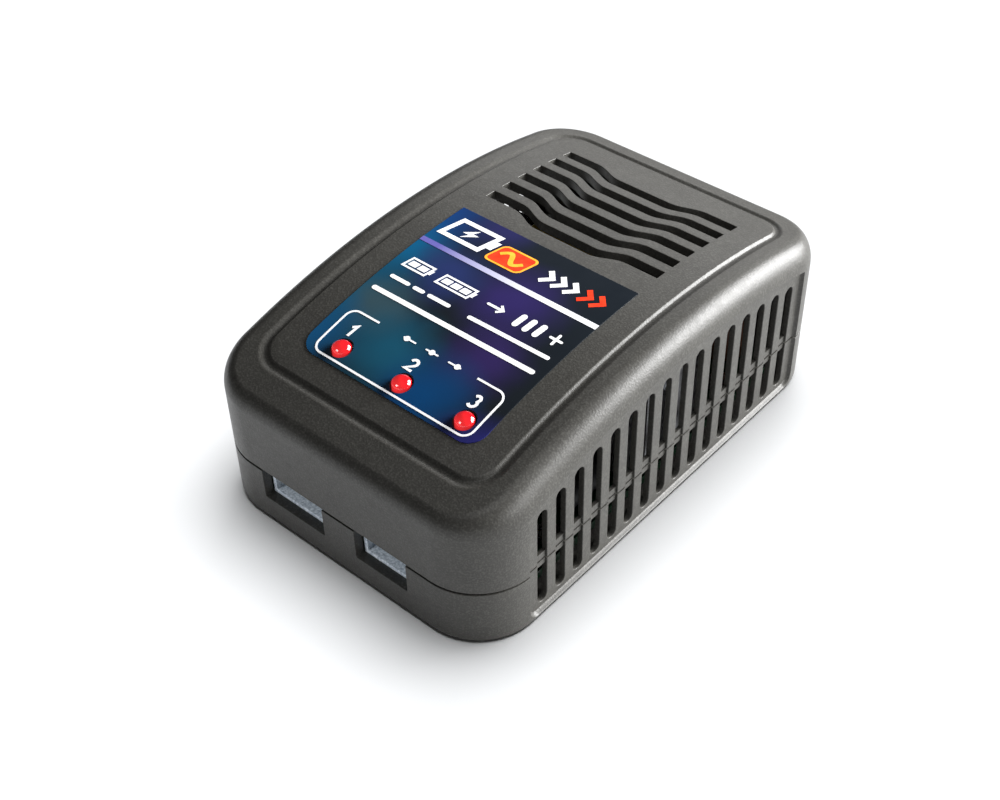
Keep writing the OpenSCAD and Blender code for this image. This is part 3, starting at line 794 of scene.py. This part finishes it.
def label_print():
    """Each piece of ink on the label, with its material."""
    badge = slanted(rounded_rect(0, 0, 7.0, 4.6, 1.0, 5), BADGE_AT)
    core = slanted(rounded_rect(0, 0, 6.3, 3.9, 0.75, 5), BADGE_AT)
    sine = [(2.3 * (i / 16 - 1), 1.05 * math.sin(math.pi * i / 16)) for i in range(33)]
    wave = slanted(stroke(sine, 0.75), BADGE_AT)
    red = [chevron((11.9 + CHEVRON_PITCH * k, CHEVRON_Y), CHEVRON_HALF, HEAVY) for k in range(2)]
    return (
        (draped("print_white", white_shapes()), "white_ink"),
        (draped("print_red", red), "red_ink"),
        (draped("print_badge", [badge]), "orange_ink"),
        (draped("print_core", [core], 1), "red_ink"),
        (draped("print_wave", [wave], 2), "orange_ink"),
        (draped("print_stripe", [stripe()]), "stripe_ink"),
    )


# ---- Materials -------------------------------------------------------------------------------------------

class Nodes:
    """Builds one material's nodes; a size is the width in millimetres of what the noise draws."""

    def __init__(self, name):
        self.material = bpy.data.materials.new(name)
        self.material.use_nodes = True
        self.tree = self.material.node_tree
        self.shader = self.tree.nodes["Principled BSDF"]
        self.coords = self.add("ShaderNodeTexCoord").outputs["Object"]

    def add(self, kind, inputs=(), **settings):
        node = self.tree.nodes.new(kind)
        for key, value in settings.items():
            setattr(node, key, value)
        for key, value in dict(inputs).items():
            self.feed(node.inputs[key], value)
        return node

    def feed(self, socket, value):
        if isinstance(value, bpy.types.NodeSocket):
            self.tree.links.new(value, socket)
        elif hasattr(value, "__len__") and len(value) == 3 and socket.type == "RGBA":
            socket.default_value = (*value, 1)
        else:
            socket.default_value = value

    def noise(self, size, detail=2.0, output="Fac"):
        node = self.add("ShaderNodeTexNoise", {
            "Vector": self.coords, "Scale": 1 / (size * MM), "Detail": detail})
        return node.outputs[output]

    def between(self, value, low, high, start=0.3, end=0.7):
        """Maps a value from between start and end to between low and high."""
        node = self.add("ShaderNodeMapRange", {
            "Value": value, "From Min": start, "From Max": end, "To Min": low, "To Max": high})
        return node.outputs["Result"]

    def vector(self, operation, *values):
        """Vector arithmetic on the values, in the order of the node's sockets."""
        return self.add("ShaderNodeVectorMath", dict(enumerate(values)), operation=operation)

    def mix(self, factor, a, b):
        node = self.add("ShaderNodeMix", data_type="RGBA")
        self.feed(node.inputs["Factor"], factor)
        self.feed(node.inputs[6], a)
        self.feed(node.inputs[7], b)
        return node.outputs[2]

    def bump(self, height, depth, strength=1.0):
        node = self.add("ShaderNodeBump", {"Height": height, "Distance": depth * MM, "Strength": strength})
        self.feed(self.shader.inputs["Normal"], node.outputs["Normal"])

    def set(self, **values):
        for key, value in values.items():
            self.feed(self.shader.inputs[key.replace("_", " ")], value)
        return self.material


def surface(name, dark, light, rough, grain=0.3, depth=0.01, patch=3.0, metal=0.0):
    """A material whose colour, gloss and fine relief all vary a little over the surface.

    dark and light are its two tones and rough its two roughnesses. grain and patch are the widths of the
    relief and of the patches of tone, and depth the relief's height, in millimetres.
    """
    n = Nodes(name)
    colour = n.mix(n.between(n.noise(patch, 3), 0, 1), dark, light)
    n.bump(n.noise(grain, 3), depth)
    return n.set(Base_Color=colour, Roughness=n.between(n.noise(patch * 0.7), *rough), Metallic=metal)


def housing_plastic():
    """Warm dark grey moulded plastic with a fine spark-eroded grain."""
    n = Nodes("housing")
    fine = n.noise(0.3, 1.5)
    tone = n.mix(n.between(n.noise(6, 2), 0, 1), (0.040, 0.0385, 0.035), (0.048, 0.0465, 0.042))
    colour = n.mix(n.between(fine, 0, 0.5, 0.45, 0.75), tone, (0.11, 0.108, 0.098))
    n.bump(fine, 0.03, 1.0)
    return n.set(
        Base_Color=colour, Roughness=n.between(n.noise(1.1, 3), 0.35, 0.44), Specular_IOR_Level=0.38)


# How large the swirls are that bend the clouds, and how far they bend them
SWIRL_SIZE = 9
SWIRL_REACH = 5

# Clouds of colour in the label's print: place, radius and colour
CLOUDS = (
    (-20, 0, 13, (0.008, 0.06, 0.26)),
    (-19, -8, 12, (0.005, 0.15, 0.33)),
    (4, -8, 11, (0.045, 0.03, 0.17)),
    (-8, -9, 9, (0.03, 0.05, 0.19)),
    (-18, -20, 12, (0.01, 0.13, 0.24)),
    (-12, -20, 8, (0.06, 0.12, 0.15)),
    (8, -19, 9, (0.05, 0.03, 0.16)),
    (-19, -30, 12, (0.01, 0.15, 0.38)),
    (-5, -26, 11, (0.015, 0.15, 0.26)),
    (5, -29, 11, (0.004, 0.10, 0.32)),
    (17, -33, 9, (0.04, 0.04, 0.30)),
    (-8, 5, 8, (0.03, 0.03, 0.13)),
)


def printed_film():
    """Glossy film printed with soft clouds of blue, teal and violet on near black."""
    n = Nodes("printed_film")
    offset = n.vector("SUBTRACT", n.noise(SWIRL_SIZE, output="Color"), (0.5, 0.5, 0.5))
    moved = n.vector("MULTIPLY_ADD", offset.outputs[0], (SWIRL_REACH * MM,) * 3, n.coords)
    colour = n.mix(n.noise(4, 2), (0.012, 0.017, 0.024), (0.018, 0.024, 0.032))
    for x, y, r, tint in CLOUDS:
        far = n.vector("DISTANCE", moved.outputs[0], (x * MM, y * MM, arch_z(y) * MM))
        near = n.add("ShaderNodeMapRange", {
            "Value": far.outputs["Value"], "From Min": r * MM, "From Max": 0.1 * r * MM,
            "To Min": 0.0, "To Max": 0.9}, interpolation_type="SMOOTHSTEP")
        colour = n.mix(near.outputs["Result"], colour, tint)
    n.bump(n.noise(2.5, 2), 0.004, 0.4)
    return n.set(
        Base_Color=colour, Roughness=n.between(n.noise(3, 2), 0.13, 0.2),
        Coat_Weight=0.5, Coat_Roughness=0.08)


def stripe_ink():
    """Ink that runs from violet on the left to white on the right."""
    n = Nodes("stripe_ink")
    split = n.add("ShaderNodeSeparateXYZ", {"Vector": n.coords})
    along = n.between(split.outputs["X"], 0, 1, -LABEL_HALF * 0.8 * MM, LABEL_HALF * 0.6 * MM)
    paper = n.mix(n.noise(0.5, 2), (0.78, 0.79, 0.83), (0.84, 0.85, 0.88))
    colour = n.mix(along, (0.11, 0.10, 0.34), paper)
    n.bump(n.noise(0.4, 2), 0.002, 0.4)
    return n.set(Base_Color=colour, Roughness=n.between(n.noise(1, 2), 0.2, 0.3))


def red_lens():
    """Clear red epoxy with a painted glow, strongest at the front of the lens and none at its back, standing
    in for light gathered there.
    """
    n = Nodes("red_lens")
    split = n.add("ShaderNodeSeparateXYZ", {"Vector": n.coords})
    y = middle(LIGHTS[0], 1)
    # Painted glow: emission strength falls from 0.55 at the front of the lens to none at its back, painted
    # light rather than a lamp.
    painted_glow = n.between(split.outputs["Y"], 0.55, 0.0, (y - 1.6) * MM, (y + 0.9) * MM)
    colour = n.mix(n.between(n.noise(1.2, 2), 0, 1), (0.62, 0.004, 0.010), (0.80, 0.012, 0.018))
    n.bump(n.noise(0.9, 2), 0.003, 0.4)
    return n.set(
        Base_Color=colour, Roughness=n.between(n.noise(1, 2), 0.08, 0.14),
        Coat_Weight=1.0, Coat_Roughness=0.05,
        Emission_Color=(0.95, 0.05, 0.05), Emission_Strength=painted_glow)


# Grain, depth and patch of every plain ink
INK = (0.3, 0.002, 1.0)

# Plain finishes: dark tone, light tone, roughness range, then grain, depth, patch and metal where they differ
FINISHES = {
    "white_ink": ((0.80, 0.81, 0.82), (0.86, 0.87, 0.88), (0.22, 0.32), *INK),
    "red_ink": ((0.72, 0.035, 0.012), (0.80, 0.055, 0.018), (0.22, 0.32), *INK),
    "orange_ink": ((0.90, 0.34, 0.03), (0.95, 0.45, 0.05), (0.22, 0.32), *INK),
    "plain_film": ((0.50, 0.51, 0.53), (0.56, 0.57, 0.58), (0.28, 0.4), 0.15, 0.004, 4),
    "black_plastic": ((0.014, 0.014, 0.015), (0.022, 0.022, 0.024), (0.35, 0.5), 0.2, 0.008),
    "tinned_metal": ((0.55, 0.56, 0.58), (0.66, 0.67, 0.69), (0.22, 0.4), 0.3, 0.01, 1, 1.0),
    "zinc_steel": ((0.42, 0.44, 0.47), (0.58, 0.60, 0.64), (0.22, 0.42), 0.25, 0.01, 0.9, 1.0),
    "board_laminate": ((0.006, 0.045, 0.018), (0.010, 0.07, 0.026), (0.25, 0.4), 0.5, 0.01),
    "white_nylon": ((0.26, 0.32, 0.39), (0.74, 0.80, 0.86), (0.4, 0.55), 0.3, 0.04, 0.4),
    "plated_pin": ((0.62, 0.42, 0.14), (0.75, 0.55, 0.22), (0.15, 0.3), 0.2, 0.006, 0.6, 1.0),
    "nickel_pin": ((0.60, 0.58, 0.54), (0.72, 0.70, 0.66), (0.12, 0.25), 0.2, 0.006, 0.8, 1.0),
    "brown_plastic": ((0.10, 0.035, 0.015), (0.15, 0.05, 0.02), (0.3, 0.45)),
    "green_coating": ((0.01, 0.05, 0.025), (0.02, 0.08, 0.04), (0.25, 0.4), 0.5, 0.02),
    "yellow_plastic": ((0.55, 0.36, 0.03), (0.66, 0.45, 0.05), (0.3, 0.45)),
    "ferrite": ((0.018, 0.018, 0.02), (0.03, 0.03, 0.033), (0.45, 0.65), 0.15, 0.02, 0.6),
    "copper_wire": ((0.42, 0.12, 0.04), (0.58, 0.2, 0.07), (0.2, 0.35), 0.2, 0.01, 0.7, 1.0),
    "black_sleeve": ((0.008, 0.009, 0.012), (0.014, 0.016, 0.02), (0.15, 0.28), 1, 0.01),
    "yellow_tape": ((0.40, 0.28, 0.02), (0.48, 0.35, 0.04), (0.15, 0.3), 0.8, 0.02),
    "aluminium_plate": ((0.30, 0.30, 0.31), (0.45, 0.46, 0.47), (0.45, 0.6), 0.15, 0.01, 1, 1.0),
    "blue_coating": ((0.015, 0.09, 0.30), (0.03, 0.13, 0.40), (0.2, 0.35), 0.5, 0.02),
    "blue_sleeve": ((0.012, 0.03, 0.12), (0.02, 0.045, 0.17), (0.15, 0.28), 1, 0.01),
    "black_ceramic": ((0.012, 0.012, 0.012), (0.02, 0.02, 0.02), (0.2, 0.35), 0.3, 0.01),
}


def materials():
    """Every material by name."""
    looks = {
        "housing": housing_plastic(),
        "printed_film": printed_film(),
        "stripe_ink": stripe_ink(),
        "red_lens": red_lens(),
    }
    for name, finish in FINISHES.items():
        looks[name] = surface(name, *finish)
    return looks


# ---- Putting it together ---------------------------------------------------------------------------------

SLOT_OF = {part["node"]: part["material_slot"] for part in frame["record"]["subparts"]}
LOOKS = materials()


def dress(piece, look, slot, *replaced):
    """Gives a new piece its material, fixes it to the housing, and hides the nodes it stands for."""
    piece.data.materials.clear()
    piece.data.materials.append(LOOKS[look])
    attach(piece, ROOT)
    if replaced:
        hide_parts(*replaced)
    return piece


def softened(node, width):
    """A copy of a node with its edges slightly rounded, which stands for it."""
    bm = bmesh.new()
    bm.from_mesh(frame["nodes"][node].data)
    bmesh.ops.remove_doubles(bm, verts=bm.verts, dist=MERGE)
    bmesh.ops.dissolve_limit(bm, angle_limit=math.radians(0.5), verts=bm.verts, edges=bm.edges)
    piece = to_object(bm, node + "_moulded")
    bevel = piece.modifiers.new("edges", "BEVEL")
    bevel.width = width * MM
    bevel.segments = 3
    bevel.limit_method = "ANGLE"
    bevel.angle_limit = math.radians(40)
    settled(piece)
    finish_mesh(piece, 50)
    dress(piece, SLOT_OF[node], SLOT_OF[node], node)
    return piece


# How far each node's edges are rounded
EDGE_RADII = {
    "rating_label": 0.03,
    "led_spacers": 0.08,
    "led_leads": 0.05,
    "case_screws": 0.12,
    "main_board": 0.06,
    "board_screws": 0.1,
    "socket_four_pin": 0.09,
    "pins_four_pin": 0.08,
    "socket_three_pin": 0.09,
    "pins_three_pin": 0.08,
    "mains_inlet": 0.15,
    "inlet_pins": 0.1,
    "fuse": 0.3,
    "surge_thermistor": 0.6,
    "x_capacitor": 0.25,
    "choke_core": 0.5,
    "choke_windings": 0.2,
    "bridge_rectifier": 0.2,
    "bulk_capacitor": 0.25,
    "transformer_core": 0.2,
    "transformer_bobbin": 0.12,
    "transformer_winding": 0.25,
    "power_transistor": 0.12,
    "heatsink": 0.12,
    "heatsink_screw": 0.2,
    "y_capacitor": 0.6,
    "optocoupler": 0.15,
    "output_diode": 0.25,
    "output_capacitors": 0.25,
    "output_inductor": 0.3,
    "control_chip": 0.05,
    "balance_resistors": 0.08,
    "balance_transistors": 0.08,
}

SHELLS = [
    dress(upper_shell(), "housing", "housing", "upper_shell"),
    dress(lower_shell(), "housing", "housing", "lower_shell"),
]
FILM = dress(label_film(), "printed_film", "printed_film", "top_label")
LENSES = [dress(led_lens(light), "red_lens", "red_lens", light) for light in LIGHTS]
PRINTING = [dress(ink, look, "printed_film") for ink, look in label_print()]
SOFTENED = {node: softened(node, radius) for node, radius in EDGE_RADII.items()}
SOCKET_NODES = ("socket_four_pin", "pins_four_pin", "socket_three_pin", "pins_three_pin")
SOCKETS = [SOFTENED[node] for node in SOCKET_NODES]
DETAILS = LENSES + SOCKETS
OUTSIDE = SHELLS + [FILM] + PRINTING + DETAILS + [SOFTENED["mains_inlet"], SOFTENED["inlet_pins"]]


# ---- Studio ----------------------------------------------------------------------------------------------

FLOOR_DISC_D = 520
FLOOR_DISC_T = 5

# The camera's place in metres, its yaw, pitch and roll in degrees, and its lens in millimetres
CAMERA_AT = (0.12023, -0.14125, 0.17263)
CAMERA_TURN = (41.83, 42.26, -1.42)
CAMERA_LENS = 55.04

# Soft lights: name, direction, distance, width, height, power and what they reach, in metres and watts
LAMPS = (
    ("key", (0.56, 0.78, 0.36), 0.6, 0.5, 0.32, 14, "outside"),
    ("side", (1.0, 0.1, 0.3), 0.6, 0.4, 0.3, 2.0, "shells"),
    ("back", (-0.42, 0.85, 0.45), 0.6, 0.4, 0.3, 0.7, "shells"),
    ("over", (0.1, -0.3, 1.0), 0.6, 0.4, 0.4, 0.7, "shells"),
    ("front", (-0.25, -1.0, 0.55), 0.5, 0.2, 0.2, 1.2, "details"),
    ("print", (0.1, -0.1, 1.0), 0.6, 0.3, 0.3, 3, "printing"),
    ("wash", (0.0, 0.25, 1.0), 2.2, 1.7, 1.7, 74, "ground"),
)
TINTS = {"wash": (0.97, 0.985, 1.0)}
AIR = 0.05


def floor():
    """A pale floor under the charger."""
    sheet = solid("floor", upright(circle(0, 0, FLOOR_DISC_D, 96), -FLOOR_DISC_T, 0))
    pale = surface("floor", (0.86, 0.86, 0.86), (0.9, 0.9, 0.9), (0.8, 0.9), 3, 0.02, 200)
    sheet.data.materials.append(pale)
    return sheet


def camera():
    """A camera at the view that looks down on the front right corner."""
    yaw, pitch, roll = (math.radians(a) for a in CAMERA_TURN)
    ahead = Vector((-math.sin(yaw) * math.cos(pitch), math.cos(yaw) * math.cos(pitch), -math.sin(pitch)))
    right = Vector((math.cos(yaw), math.sin(yaw), 0))
    up = right.cross(ahead)
    tilted_right = right * math.cos(roll) + up * math.sin(roll)
    tilted_up = up * math.cos(roll) - right * math.sin(roll)
    data = bpy.data.cameras.new("camera")
    data.lens = CAMERA_LENS
    data.clip_start = 0.01
    cam = bpy.data.objects.new("camera", data)
    axes = Matrix((tilted_right, tilted_up, -ahead)).transposed().to_4x4()
    cam.matrix_world = Matrix.Translation(CAMERA_AT) @ axes
    bpy.context.scene.collection.objects.link(cam)
    bpy.context.scene.camera = cam


def softbox(name, towards, distance, width, height, power, tint):
    """A soft rectangular light in a direction from the charger, facing it."""
    data = bpy.data.lights.new(name, "AREA")
    data.shape = "RECTANGLE"
    data.size = width
    data.size_y = height
    data.energy = power
    data.color = tint
    box = bpy.data.objects.new(name, data)
    direction = Vector(towards).normalized()
    box.location = direction * distance + Vector((0, 0, middle("upper_shell", 2) * MM))
    box.rotation_euler = (-direction).to_track_quat("-Z", "Y").to_euler()
    bpy.context.scene.collection.objects.link(box)
    return box


def group_of(name, members):
    """A collection that isn't in the scene, for saying what a light reaches."""
    group = bpy.data.collections.new(name)
    for member in members:
        group.objects.link(member)
    return group


def studio_air(strength):
    """Dim even light from all round; beyond the floor's edge the studio itself looks white."""
    world = bpy.data.worlds.new("studio")
    world.use_nodes = True
    tree = world.node_tree
    dim = tree.nodes["Background"]
    dim.inputs["Color"].default_value = (1, 1, 1, 1)
    dim.inputs["Strength"].default_value = strength
    white = tree.nodes.new("ShaderNodeBackground")
    white.inputs["Color"].default_value = (1, 1, 1, 1)
    path = tree.nodes.new("ShaderNodeLightPath")
    chosen = tree.nodes.new("ShaderNodeMixShader")
    tree.links.new(path.outputs["Is Camera Ray"], chosen.inputs[0])
    tree.links.new(dim.outputs[0], chosen.inputs[1])
    tree.links.new(white.outputs[0], chosen.inputs[2])
    tree.links.new(chosen.outputs[0], tree.nodes["World Output"].inputs["Surface"])
    bpy.context.scene.world = world


REACH = {
    "outside": group_of("outside", OUTSIDE),
    "shells": group_of("shells", SHELLS),
    "ground": group_of("ground", [floor()]),
    "details": group_of("details", DETAILS),
    "printing": group_of("printing", PRINTING),
}
camera()
for lamp, towards, distance, width, height, power, reach in LAMPS:
    box = softbox(lamp, towards, distance, width, height, power, TINTS.get(lamp, (1, 1, 1)))
    box.light_linking.receiver_collection = REACH[reach]
studio_air(AIR)
bpy.context.scene.view_settings.view_transform = "Standard"
